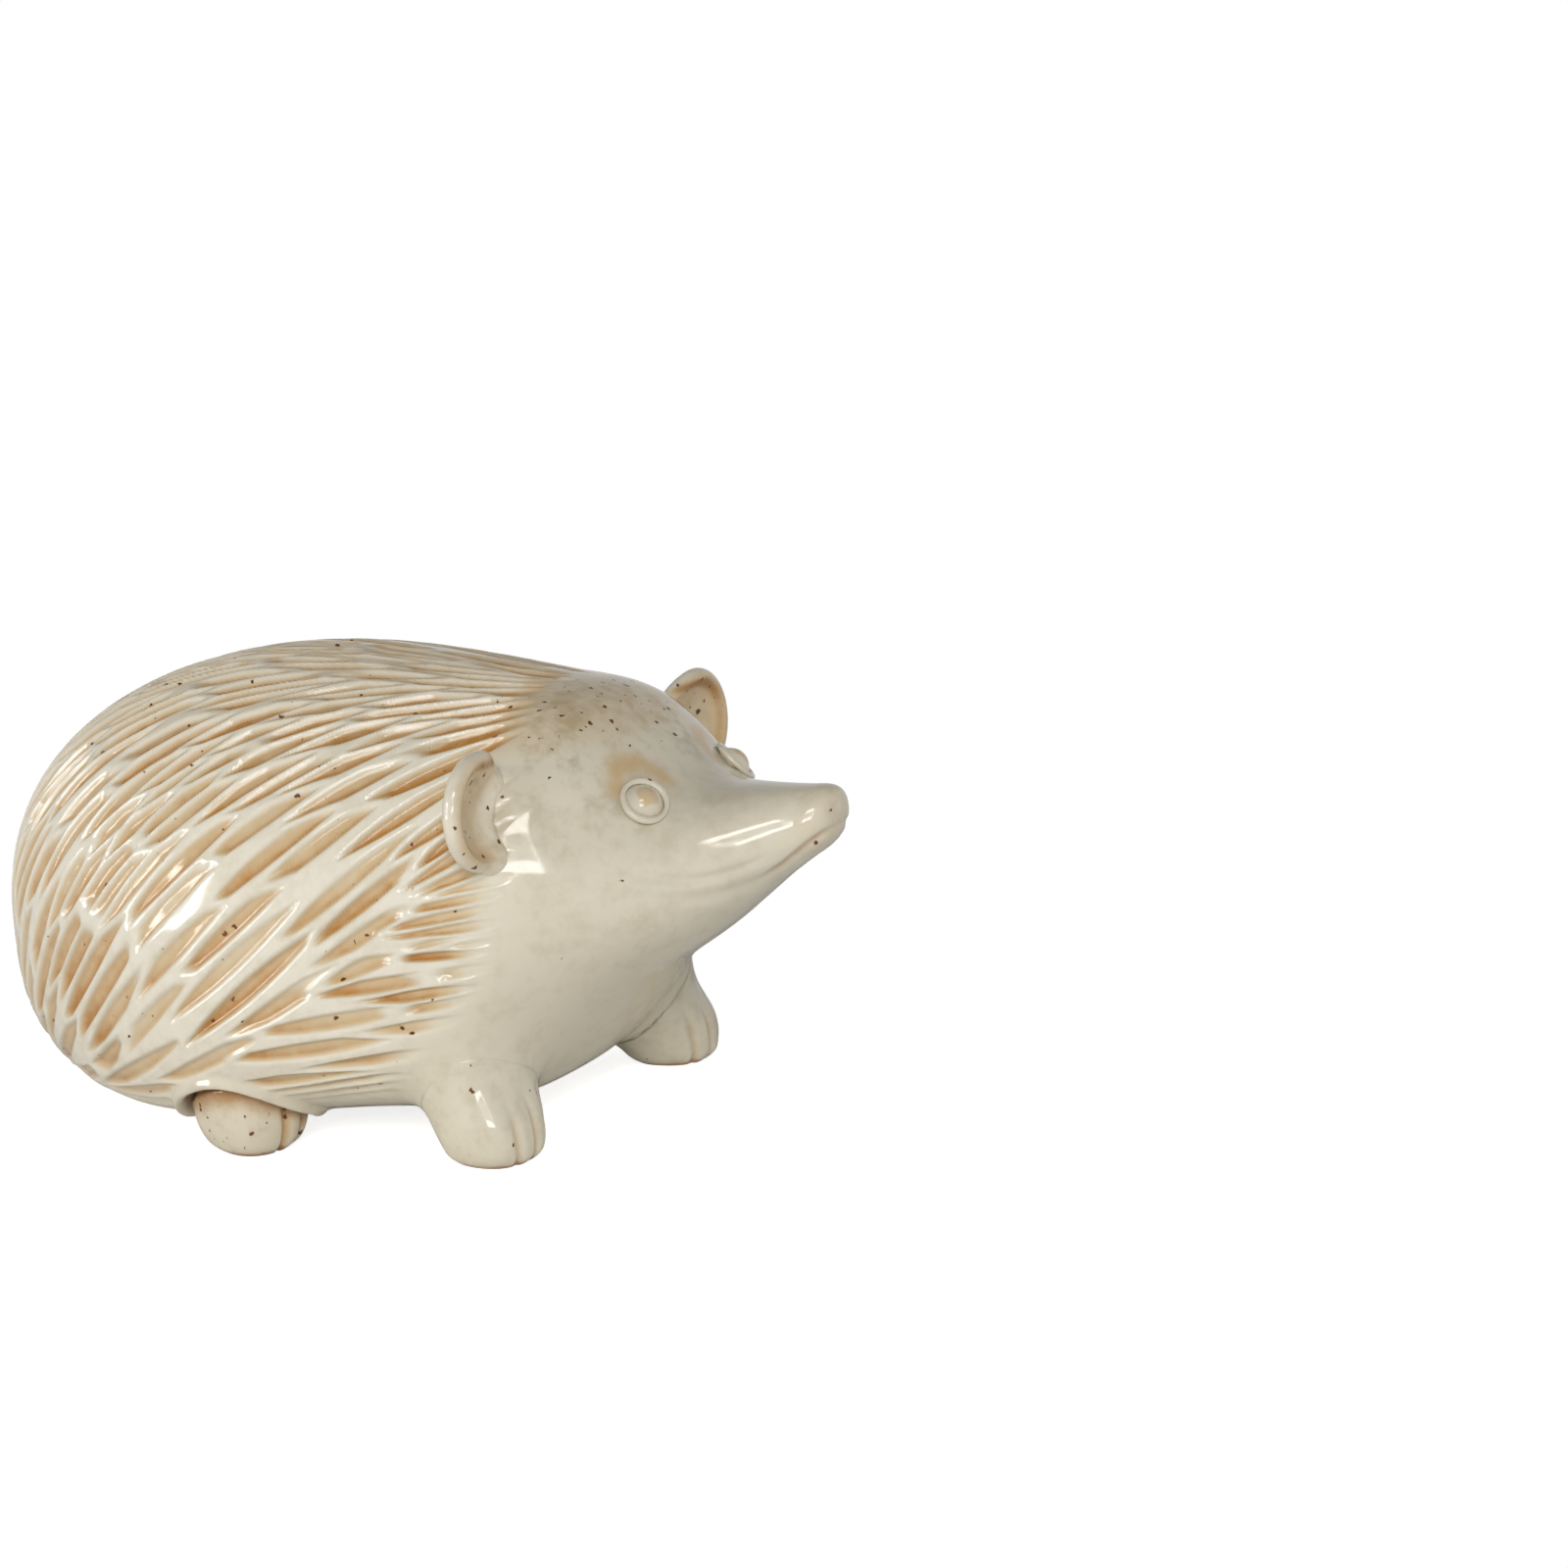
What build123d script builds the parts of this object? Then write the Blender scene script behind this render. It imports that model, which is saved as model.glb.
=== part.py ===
from build123d import *
import math
import os

import numpy as np

# Overall size of the fired figurine, in millimetres
LENGTH = 240.0
WIDTH = 161.0
HEIGHT = 124.0
WALL = 5.0

# Lines plan of the body from rump (0) to snout (1): station, back line and belly line as shares
# of the height, half breadth as a share of half the width
LINES_PLAN = (
    (0.00, 0.452, 0.452, 0.000),
    (0.08, 0.654, 0.269, 0.333),
    (0.18, 0.823, 0.143, 0.632),
    (0.30, 0.953, 0.035, 0.884),
    (0.42, 1.000, 0.022, 1.000),
    (0.54, 0.975, 0.048, 0.920),
    (0.63, 0.944, 0.102, 0.766),
    (0.69, 0.899, 0.283, 0.629),
    (0.75, 0.768, 0.394, 0.470),
    (0.82, 0.726, 0.490, 0.295),
    (0.89, 0.727, 0.573, 0.165),
    (0.95, 0.722, 0.622, 0.096),
    (1.00, 0.690, 0.690, 0.000),
)
# Each cross section is a superellipse, fuller below at the rear than at the head
CENTRE_SHARE = 0.44
UPPER_POWER = 2.12
LOWER_POWER_REAR = 3.4
LOWER_POWER_HEAD = 2.2
REAR_STATION = 0.30
HEAD_STATION = 0.75
SECTION_COUNT = 14
SECTION_POINTS = 16
SKIN_STRIPS = 8
END_STATION = 0.02

# Spine coat: staggered gouge cuts that point to the tail, each cut by the rim of a thin hoop
SPINE_PITCH = 13.5
SPINE_LENGTH = 31.0
GOUGE_RADIUS = 5.0
GOUGE_DEPTH = 2.0
GOUGE_SWEEP = 110.0
COAT_REAR_STATION = 0.06
COAT_FRONT_STATION = 0.615
COAT_LOWEST_SHARE = 0.21
COAT_SIDE_ANGLE = -25.0
COAT_COLUMNS = 60
COAT_ROWS = 40
SPINE_FALL = 0.87
SPINE_SPREAD = 1.0
SWEEP_START = -16.0
SWEEP_RISE = 1.25
SWEEP_RANGE = 6.0
SWEEP_LIMIT = 3.0

# Vent under the belly that lets steam out in the kiln
VENT_DIAMETER = 3.6
VENT_STATION = 0.45

# Nose ball pressed on the end of the snout
NOSE_RADIUS = 6.4
NOSE_REACH = 4.0

# Mouth crease, cut along the underside of the snout
MOUTH_WIDTH = 1.2
MOUTH_DEPTH = 1.6
MOUTH_RISE = 3.0
MOUTH_CORNER_STATION = 0.78
MOUTH_FRONT_STATION = 0.95

# Ears: deeply dished discs that stand out sideways and face forward
EAR_STATION = 0.655
EAR_ANGLE = 34.0
EAR_RADIUS = 15.2
EAR_STAND_OFF = 9.5
EAR_TURN_OUT = 0.0
EAR_BACK_BULGE = 8.0
EAR_RIM_ROUND = 2.6
EAR_DISH_DEPTH = 3.6

# Eyes: a rolled ring with a pellet inside it
EYE_STATION = 0.755
EYE_ANGLE = 51.5
EYE_RING_RADIUS = 6.6
EYE_ROLL_RADIUS = 1.7
EYEBALL_RADIUS = 6.2
EYEBALL_BULGE = 2.8

# Forefeet: short legs on a flat sole, placed by shares of half the length and half the width
FOREFOOT_X_SHARE = 0.362
FOREFOOT_Y_SHARE = 0.596
FOREFOOT_LENGTH = 28.0
FOREFOOT_WIDTH = 26.0
FOREFOOT_HEIGHT = 21.0
FOREFOOT_TURN_OUT = 8.0

# Hind feet: low oval paws that show under the hem of the spine coat
HIND_FOOT_X_SHARE = -0.208
HIND_FOOT_Y_SHARE = 0.665
HIND_FOOT_LENGTH = 29.0
HIND_FOOT_WIDTH = 27.0
HIND_FOOT_HEIGHT = 20.0
HIND_FOOT_TURN_OUT = 14.0

# Both kinds of foot: narrower sole, lean of the leg, and grooves between the toes
SOLE_SHARE = 0.74
KNUCKLE_LEVEL = 0.45
LEG_SHARE = 0.76
LEG_LEAN = 3.0
TOE_COUNT = 4
TOE_GROOVE_RADIUS = 1.4


def natural_spline(knots, values):
    """Natural cubic through the knots: bends from the tridiagonal system, then the cubic of one span."""
    steps = np.diff(knots)
    system = np.diag(np.r_[1.0, 2.0 * (steps[:-1] + steps[1:]), 1.0])
    for row in range(1, len(steps)):
        system[row, row - 1] = steps[row - 1]
        system[row, row + 1] = steps[row]
    bends = np.linalg.solve(system, np.r_[0.0, 6.0 * np.diff(np.diff(values) / steps), 0.0])

    def at(place):
        span = int(np.clip(np.searchsorted(knots, place) - 1, 0, len(steps) - 1))
        step = steps[span]
        before = place - knots[span]
        after = knots[span + 1] - place
        left = values[span] / step - bends[span] * step / 6.0
        right = values[span + 1] / step - bends[span + 1] * step / 6.0
        bow = (bends[span] * after**3 + bends[span + 1] * before**3) / (6.0 * step)
        return float(bow + left * after + right * before)

    return at


STATIONS, BACK_SHARES, BELLY_SHARES, BREADTH_SHARES = np.array(LINES_PLAN).T
back_share = natural_spline(STATIONS, BACK_SHARES)
belly_share = natural_spline(STATIONS, BELLY_SHARES)
breadth_share = natural_spline(STATIONS, BREADTH_SHARES)


def rump_x():
    """Rearmost point of the body."""
    return -LENGTH / 2.0


def snout_x():
    """Foremost point of the body, behind the nose ball."""
    return LENGTH / 2.0 - NOSE_REACH


def station_at(x):
    """Station of a place along the body."""
    middle = (rump_x() + snout_x()) / 2.0
    return math.acos((middle - x) / (snout_x() - middle)) / math.pi


def body_lines(station):
    """Place along X, back height, belly height, section centre, half breadth and lower power at a station."""
    middle = (rump_x() + snout_x()) / 2.0
    x = middle - (snout_x() - middle) * math.cos(math.pi * station)
    top = HEIGHT * back_share(station)
    bottom = HEIGHT * belly_share(station)
    centre = bottom + CENTRE_SHARE * (top - bottom)
    half = WIDTH / 2.0 * breadth_share(station)
    headward = min(max((station - REAR_STATION) / (HEAD_STATION - REAR_STATION), 0.0), 1.0)
    power = LOWER_POWER_REAR + (LOWER_POWER_HEAD - LOWER_POWER_REAR) * headward
    return x, top, bottom, centre, half, power


def skin_ring(station, angles, inset=0.0):
    """Points of the skin at a station, at angles round the section: 0 at the left side, 90 on top."""
    x, top, bottom, centre, half, lower_power = body_lines(station)
    ring = []
    for angle in angles:
        across = math.cos(math.radians(angle))
        up = math.sin(math.radians(angle))
        rise = top - centre
        power = UPPER_POWER
        if up < 0.0:
            rise = centre - bottom
            power = lower_power
        y = (half - inset) * math.copysign(abs(across) ** (2.0 / power), across)
        z = centre + (rise - inset) * math.copysign(abs(up) ** (2.0 / power), up)
        ring.append(Vector(x, y, z))
    return ring


def skin_point(station, angle):
    """One point of the skin."""
    return skin_ring(station, [angle])[0]


def skin_normal(station, angle):
    """Outward normal of the skin, from its slopes along the stations and round the section."""
    reach = 0.002
    turn = 0.5
    along = skin_point(station + reach, angle) - skin_point(station - reach, angle)
    around = skin_point(station, angle + turn) - skin_point(station, angle - turn)
    return around.cross(along).normalized()


def skin_solid(inset=0.0, strips=1):
    """Loft through the sections in strips along the body, closed by a point at the rump and at the snout."""
    squeeze = 1.0 - 2.0 * inset / (snout_x() - rump_x())
    angles = [360.0 * step / SECTION_POINTS for step in range(SECTION_POINTS)]
    stations = [END_STATION, *[index / SECTION_COUNT for index in range(1, SECTION_COUNT)], 1.0 - END_STATION]
    sections = [Vertex(rump_x() + inset, 0, skin_point(0.0, 0.0).Z)]
    for station in stations:
        ring = skin_ring(station, angles, inset)
        ring = [Vector(rump_x() + inset + (point.X - rump_x()) * squeeze, point.Y, point.Z) for point in ring]
        rim = Edge.make_spline(ring, periodic=True)
        parts = [rim]
        if strips > 1:
            parts = [rim.trim(step / strips, (step + 1) / strips) for step in range(strips)]
        sections.append(Face(Wire(parts)))
    sections.append(Vertex(snout_x() - inset, 0, skin_point(1.0, 0.0).Z))
    return loft(sections)


def spine_lay(point, normal):
    """Direction of a spine along the skin: back and down the flank, swept straight back low behind the cheek."""
    low_front = point.X - SWEEP_START - SWEEP_RISE * (point.Z - COAT_LOWEST_SHARE * HEIGHT)
    sweep = math.exp(min(low_front / SWEEP_RANGE, SWEEP_LIMIT))
    lay = Vector(-1.0 - sweep, SPINE_SPREAD * point.Y / WIDTH, -SPINE_FALL)
    return (lay - normal * lay.dot(normal)).normalized()


def spine_places(seats):
    """Planes of the gouge cuts, taken in turn over the coat wherever no cut and no seat is too near."""
    places = []
    for column in range(COAT_COLUMNS):
        angle = COAT_SIDE_ANGLE + (180.0 - 2.0 * COAT_SIDE_ANGLE) * (column + 0.5) / COAT_COLUMNS
        for row in range(COAT_ROWS):
            share = row / (COAT_ROWS - 1)
            station = COAT_REAR_STATION + (COAT_FRONT_STATION - COAT_REAR_STATION) * share
            point = skin_point(station, angle)
            if point.Z < COAT_LOWEST_SHARE * HEIGHT:
                continue
            if any((point - seat).length < radius + SPINE_LENGTH / 2.0 for seat, radius in seats):
                continue
            normal = skin_normal(station, angle)
            lay = spine_lay(point, normal)
            across = normal.cross(lay)
            if all(spines_apart(point - other.origin, lay, across) >= 1.0 for other in places):
                places.append(Plane(origin=point, x_dir=lay, z_dir=across))
    return places


def spines_apart(offset, lay, across):
    """Distance between two cuts, where a length along the lay counts as much as a pitch in any other way."""
    along = offset.dot(lay)
    beside = offset.dot(across)
    above_square = max(offset.dot(offset) - along**2 - beside**2, 0.0)
    return math.sqrt((along / SPINE_LENGTH) ** 2 + (beside**2 + above_square) / SPINE_PITCH**2)


def spine_cuts(seats):
    """Hoops that stand on the skin, in line with the spines, and dip into it by the depth of the gouge."""
    lift = GOUGE_SWEEP + GOUGE_RADIUS - GOUGE_DEPTH
    return [place * Pos(0, -lift, 0) * Torus(GOUGE_SWEEP, GOUGE_RADIUS) for place in spine_places(seats)]


def mouth_crease(skin):
    """Thin slab along the underside of the snout, kept only as deep as the crease."""
    front_x, _, front_bottom, _, _, _ = body_lines(MOUTH_FRONT_STATION)
    corner_x, _, corner_bottom, _, _, _ = body_lines(MOUTH_CORNER_STATION)
    corner = Vector(corner_x, 0, corner_bottom + MOUTH_RISE)
    run = Vector(front_x, 0, front_bottom + MOUTH_RISE) - corner
    place = Plane(origin=corner, x_dir=run, z_dir=run.cross(Vector(0, 1, 0)))
    slab = place * Pos(run.length, 0, 0) * Box(2.0 * run.length, WIDTH, MOUTH_WIDTH)
    return (slab & skin) - skin_solid(MOUTH_DEPTH)


def body_shell(skin):
    """Hollow casting: the skin less its spine cuts, its cavity, the mouth crease and the vent."""
    seats = []
    for side in (1, -1):
        ear_seat = skin_point(EAR_STATION, EAR_ANGLE)
        seats.append((Vector(ear_seat.X, side * ear_seat.Y, ear_seat.Z), EAR_RADIUS))
        hind_x, hind_y = foot_place(HIND_FOOT_X_SHARE, HIND_FOOT_Y_SHARE)
        seats.append((Vector(hind_x, side * hind_y, HIND_FOOT_HEIGHT / 2.0), HIND_FOOT_LENGTH / 2.0))
        fore_x, fore_y = foot_place(FOREFOOT_X_SHARE, FOREFOOT_Y_SHARE)
        seats.append((Vector(fore_x, side * fore_y, FOREFOOT_HEIGHT), FOREFOOT_LENGTH / 2.0))
    x, _, bottom, _, _, _ = body_lines(VENT_STATION)
    vent = Pos(x, 0, bottom) * Cylinder(VENT_DIAMETER / 2.0, 4.0 * WALL)
    return skin - [*spine_cuts(seats), mouth_crease(skin), skin_solid(WALL), vent]


def ear(skin, side):
    """Dished disc turned about its own axis, set on the side of the head and trimmed to the skin."""
    rim_radius = EAR_RADIUS - EAR_RIM_ROUND
    dish_start = (0, -EAR_DISH_DEPTH)
    back_start = (0, -EAR_BACK_BULGE)
    front_edge = (rim_radius, EAR_RIM_ROUND)
    back_edge = (rim_radius, -EAR_RIM_ROUND)
    profile = Curve() + [
        Line(back_start, dish_start),
        TangentArc(dish_start, front_edge, tangent=(1, 0)),
        ThreePointArc(front_edge, (EAR_RADIUS, 0), back_edge),
        TangentArc(back_start, back_edge, tangent=(1, 0)),
    ]
    disc = revolve(Plane.XZ * make_face(profile), Axis.Z)
    seat = skin_point(EAR_STATION, EAR_ANGLE)
    turn = math.radians(EAR_TURN_OUT)
    place = Plane(
        origin=(seat.X, side * (seat.Y + EAR_STAND_OFF), seat.Z),
        x_dir=(-math.sin(turn), side * math.cos(turn), 0),
        z_dir=(math.cos(turn), side * math.sin(turn), 0),
    )
    return place * disc - skin


def eye_place(side):
    """Plane on the skin at the eye, facing outwards."""
    seat = skin_point(EYE_STATION, EYE_ANGLE)
    normal = skin_normal(EYE_STATION, EYE_ANGLE)
    return Plane(origin=(seat.X, side * seat.Y, seat.Z), z_dir=(normal.X, side * normal.Y, normal.Z))


def eye_rim(skin, side):
    """Rolled ring laid on the skin."""
    return eye_place(side) * Torus(EYE_RING_RADIUS, EYE_ROLL_RADIUS) - skin


def eyeball(skin, rim, side):
    """Pellet that fills the ring and bulges out of it."""
    return eye_place(side) * Pos(0, 0, EYEBALL_BULGE - EYEBALL_RADIUS) * Sphere(EYEBALL_RADIUS) - skin - rim


def nose_tip(skin):
    """Ball on the end of the snout."""
    return Pos(LENGTH / 2.0 - NOSE_RADIUS, 0, skin_point(1.0, 0.0).Z) * Sphere(NOSE_RADIUS) - skin


def foot_place(x_share, y_share):
    """Middle of a left sole."""
    return x_share * LENGTH / 2.0, y_share * WIDTH / 2.0


def foot(skin, place, length, width, height, turn_out, side):
    """Leg lofted from a flat sole up into the belly, with grooves between the toes, trimmed to the skin."""
    x, y = place
    _, _, _, leg_top, _, _ = body_lines(station_at(x))
    levels = ((0.0, SOLE_SHARE), (KNUCKLE_LEVEL * height, 1.0), (height, LEG_SHARE), (leg_top, LEG_SHARE))
    rings = []
    for level, share in levels:
        lean = -LEG_LEAN * min(level / height, 1.0)
        rings.append(Pos(lean, 0, level) * Ellipse(length / 2.0 * share, width / 2.0 * share))
    leg = loft(rings)
    for gap in range(1, TOE_COUNT):
        across = width * (gap / TOE_COUNT - 0.5)
        front = length / 2.0 * math.sqrt(1.0 - (2.0 * across / width) ** 2)
        leg = leg - Pos(front, across, 0) * Cylinder(TOE_GROOVE_RADIUS, 2.0 * KNUCKLE_LEVEL * height)
    return Pos(x, side * y, 0) * Rot(0, 0, side * turn_out) * leg - skin


os.makedirs("parts", exist_ok=True)
skin = skin_solid(strips=SKIN_STRIPS)
pieces = {"body_shell": body_shell(skin), "nose_tip": nose_tip(skin)}
fore_place = foot_place(FOREFOOT_X_SHARE, FOREFOOT_Y_SHARE)
hind_place = foot_place(HIND_FOOT_X_SHARE, HIND_FOOT_Y_SHARE)
for name, side in (("left", 1), ("right", -1)):
    rim = eye_rim(skin, side)
    pieces[f"{name}_ear"] = ear(skin, side)
    pieces[f"{name}_eye_rim"] = rim
    pieces[f"{name}_eyeball"] = eyeball(skin, rim, side)
    pieces[f"{name}_forefoot"] = foot(
        skin, fore_place, FOREFOOT_LENGTH, FOREFOOT_WIDTH, FOREFOOT_HEIGHT, FOREFOOT_TURN_OUT, side
    )
    pieces[f"{name}_hind_foot"] = foot(
        skin, hind_place, HIND_FOOT_LENGTH, HIND_FOOT_WIDTH, HIND_FOOT_HEIGHT, HIND_FOOT_TURN_OUT, side
    )
for name, piece in pieces.items():
    export_step(piece, f"parts/{name}.step")
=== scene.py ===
"""Glazed stoneware hedgehog figurine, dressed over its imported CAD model. Shapes are in millimetres."""

import bpy
import numpy as np
from mathutils import Matrix, Vector


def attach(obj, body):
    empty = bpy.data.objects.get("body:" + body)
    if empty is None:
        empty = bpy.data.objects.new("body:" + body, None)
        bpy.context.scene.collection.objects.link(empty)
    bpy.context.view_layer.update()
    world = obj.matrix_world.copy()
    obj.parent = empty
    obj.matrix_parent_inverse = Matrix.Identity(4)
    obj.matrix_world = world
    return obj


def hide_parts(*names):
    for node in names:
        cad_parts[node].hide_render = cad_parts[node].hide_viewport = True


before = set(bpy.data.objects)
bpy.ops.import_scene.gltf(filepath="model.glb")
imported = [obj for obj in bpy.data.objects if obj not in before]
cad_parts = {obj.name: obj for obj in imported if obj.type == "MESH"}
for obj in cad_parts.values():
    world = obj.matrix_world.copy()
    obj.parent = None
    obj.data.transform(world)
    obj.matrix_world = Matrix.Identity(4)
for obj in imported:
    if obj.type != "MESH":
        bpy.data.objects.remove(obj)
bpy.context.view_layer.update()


# Plain skin of the body: the slip-cast stoneware form from rump to snout, before anything is luted
# on or carved, with the snout drawn out a little. Every other piece is seated on it, so it comes first.
BODY_LENGTH = 240.0
BODY_WIDTH = 161.0
BODY_HEIGHT = 124.0
NOSE_REACH = 4.0
# Rump to snout: station, back line and belly line by height, half breadth by half the width
LINES_PLAN = np.array(
    [
        (0.00, 0.452, 0.452, 0.000),
        (0.08, 0.654, 0.269, 0.333),
        (0.18, 0.823, 0.143, 0.632),
        (0.30, 0.953, 0.035, 0.884),
        (0.42, 1.000, 0.022, 1.000),
        (0.54, 0.975, 0.048, 0.920),
        (0.63, 0.944, 0.102, 0.766),
        (0.69, 0.899, 0.268, 0.629),
        (0.75, 0.768, 0.372, 0.470),
        (0.82, 0.726, 0.468, 0.295),
        (0.89, 0.727, 0.562, 0.165),
        (0.95, 0.722, 0.622, 0.096),
        (1.00, 0.690, 0.690, 0.000),
    ]
)
CENTRE_SHARE = 0.44
UPPER_POWER = 2.12
LOWER_POWER_REAR, LOWER_POWER_HEAD = 3.4, 2.2
REAR_STATION, HEAD_STATION = 0.30, 0.75
BODY_MIDDLE = -NOSE_REACH / 2.0
BODY_REACH = (BODY_LENGTH - NOSE_REACH) / 2.0
SNOUT_STRETCH = 8.0
STRETCH_START, STRETCH_END = 0.80, 0.97


def natural_spline(knots, values):
    """Natural cubic through the knots: bends from a tridiagonal system, then one cubic for each span."""
    steps = np.diff(knots)
    system = np.diag(np.r_[1.0, 2.0 * (steps[:-1] + steps[1:]), 1.0])
    inner = np.arange(1, len(steps))
    system[inner, inner - 1] = steps[:-1]
    system[inner, inner + 1] = steps[1:]
    bends = np.linalg.solve(system, np.r_[0.0, 6.0 * np.diff(np.diff(values) / steps), 0.0])

    def at(places):
        span = np.clip(np.searchsorted(knots, places) - 1, 0, len(steps) - 1)
        after = (knots[span + 1] - places) / steps[span]
        before = 1.0 - after
        bow = (after**3 - after) * bends[span] + (before**3 - before) * bends[span + 1]
        return after * values[span] + before * values[span + 1] + bow * steps[span] ** 2 / 6.0

    return at


back_line = natural_spline(LINES_PLAN[:, 0], BODY_HEIGHT * LINES_PLAN[:, 1])
belly_line = natural_spline(LINES_PLAN[:, 0], BODY_HEIGHT * LINES_PLAN[:, 2])
breadth_line = natural_spline(LINES_PLAN[:, 0], BODY_WIDTH / 2.0 * LINES_PLAN[:, 3])


def smooth_step(low, high, value):
    """0 below low, 1 above high, and 3 s^2 - 2 s^3 between."""
    share = np.clip((value - low) / (high - low), 0.0, 1.0)
    return share * share * (3.0 - 2.0 * share)


def section(station, upper):
    """Centre height, half breadth, rise and power of the upper or lower half of a cross section."""
    top = back_line(station)
    bottom = belly_line(station)
    centre = bottom + CENTRE_SHARE * (top - bottom)
    headward = np.clip((station - REAR_STATION) / (HEAD_STATION - REAR_STATION), 0.0, 1.0)
    lower_power = LOWER_POWER_REAR + (LOWER_POWER_HEAD - LOWER_POWER_REAR) * headward
    rise = np.where(upper, top - centre, centre - bottom)
    return centre, breadth_line(station), rise, np.where(upper, UPPER_POWER, lower_power)


def plain_skin(station, angle):
    """Skin point: superellipse radius (|cos|^n + |sin|^n)^(-1/n) round the section's centre.

    The angle is 0 at the left, and the snout is drawn out forward by a smooth step of the station."""
    across = np.cos(angle)
    up = np.sin(angle)
    centre, half, rise, power = section(station, up >= 0.0)
    radius = (np.abs(across) ** power + np.abs(up) ** power) ** (-1.0 / power)
    x = BODY_MIDDLE - BODY_REACH * np.cos(np.pi * station)
    x = x + SNOUT_STRETCH * smooth_step(STRETCH_START, STRETCH_END, station)
    return np.stack(np.broadcast_arrays(x, half * across * radius, centre + rise * up * radius), -1)


def skin_level(points):
    """Superellipse radius of a point in its own section: 1 on the skin behind the drawn-out snout."""
    cosine = np.clip((BODY_MIDDLE - points[..., 0]) / BODY_REACH, -0.9995, 0.9995)
    station = np.arccos(cosine) / np.pi
    middle = belly_line(station) + CENTRE_SHARE * (back_line(station) - belly_line(station))
    centre, half, rise, power = section(station, points[..., 2] >= middle)
    across = np.abs(points[..., 1]) / np.maximum(half, 0.5)
    up = np.abs(points[..., 2] - centre) / np.maximum(rise, 0.5)
    return (across**power + up**power + 1e-12) ** (1.0 / power)


def gap_to(level, points):
    """Signed distance to the surface where a level is 1: (level - 1) over the level's slope."""
    reach = 0.05
    here = level(points)
    slopes = [level(points + reach * axis) - here for axis in np.eye(3)]
    slope = np.sqrt(sum(part**2 for part in slopes)) / reach
    return (here - 1.0) / np.maximum(slope, 1e-4)


def skin_gap(points):
    """Signed distance to the plain skin."""
    return gap_to(skin_level, points)


# Forefeet: short stoneware legs with rounded paws, modelled solid, luted under the chest and smoothed
# in with slip so that no seam shows. Three shallow grooves part the four toes.
FOREFOOT_PLACE = (43.4, 48.0)
FOREFOOT_TURN = np.radians(8.0)
# Height, forward shift, half length and half width of the rings, from the sole up into the chest
FOREFOOT_RINGS = np.array(
    [
        (0.0, 0.0, 9.4, 8.4),
        (1.2, 0.0, 11.2, 10.0),
        (4.0, -0.2, 13.0, 11.8),
        (9.0, -1.0, 13.8, 12.8),
        (14.0, -1.8, 13.0, 12.4),
        (20.0, -3.6, 10.8, 11.0),
        (28.0, -5.6, 8.4, 9.4),
        (36.0, -7.4, 6.2, 7.4),
        (44.0, -8.6, 3.4, 4.0),
        (48.0, -9.0, 1.5, 1.5),
    ]
)
PAW_POWER = 2.35
FOREFOOT_TOES = np.radians([-42.0, -10.0, 22.0])
FOREFOOT_KNUCKLE = 20.0
TOE_DEPTH = 1.3
TOE_WIDTH = np.radians(5.5)
FOREFOOT_SOFTNESS = 13.0


def paw_shape(rings, place, turn):
    """Surface of a paw and the gap to it on the level: superellipse rings, sizes as splines of height."""
    shift, length, width = (natural_spline(rings[:, 0], column) for column in rings[:, 1:].T)

    def surface(height, angle, share):
        across = np.cos(angle)
        side = np.sin(angle)
        radius = share * (np.abs(across) ** PAW_POWER + np.abs(side) ** PAW_POWER) ** (-1.0 / PAW_POWER)
        ahead = shift(height) + length(height) * across * radius
        aside = width(height) * side * radius
        x = place[0] + ahead * np.cos(turn) - aside * np.sin(turn)
        y = place[1] + ahead * np.sin(turn) + aside * np.cos(turn)
        return np.stack(np.broadcast_arrays(x, y, height), -1)

    def gap(points):
        x = points[..., 0] - place[0]
        y = np.abs(points[..., 1]) - place[1]
        height = np.clip(points[..., 2], 0.0, rings[-1, 0])
        ahead = x * np.cos(turn) + y * np.sin(turn) - shift(height)
        aside = y * np.cos(turn) - x * np.sin(turn)
        level = np.abs(ahead / length(height)) ** PAW_POWER + np.abs(aside / width(height)) ** PAW_POWER
        return np.hypot(ahead, aside) * (1.0 - np.maximum(level, 1e-9) ** (-1.0 / PAW_POWER))

    return surface, gap


def single_point(row):
    """Whether a row of points is one place."""
    return np.ptp(row, axis=0).max() < 1e-6


def grid_normals(points):
    """Unit normals of a grid closed round its columns, from its slopes along rows and columns."""
    along = np.gradient(points, axis=0)
    around = np.roll(points, -1, axis=1) - np.roll(points, 1, axis=1)
    normals = np.cross(around, along)
    length = np.linalg.norm(normals, axis=-1, keepdims=True)
    normals = normals / np.maximum(length, 1e-9)
    for pole, beside in ((0, 1), (-1, -2)):
        if single_point(points[pole]):
            mean = normals[beside].mean(axis=0)
            normals[pole] = mean / np.linalg.norm(mean)
    return normals


SETTLE_ROUNDS = 10
SETTLE_PACE = 0.8
# Past the seam, as shares of the softness: where a piece starts to dive, and where it starts to thin
DIVE_START, THIN_START = 0.02, -0.2
DIVE_DEPTH = 2.0


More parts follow.
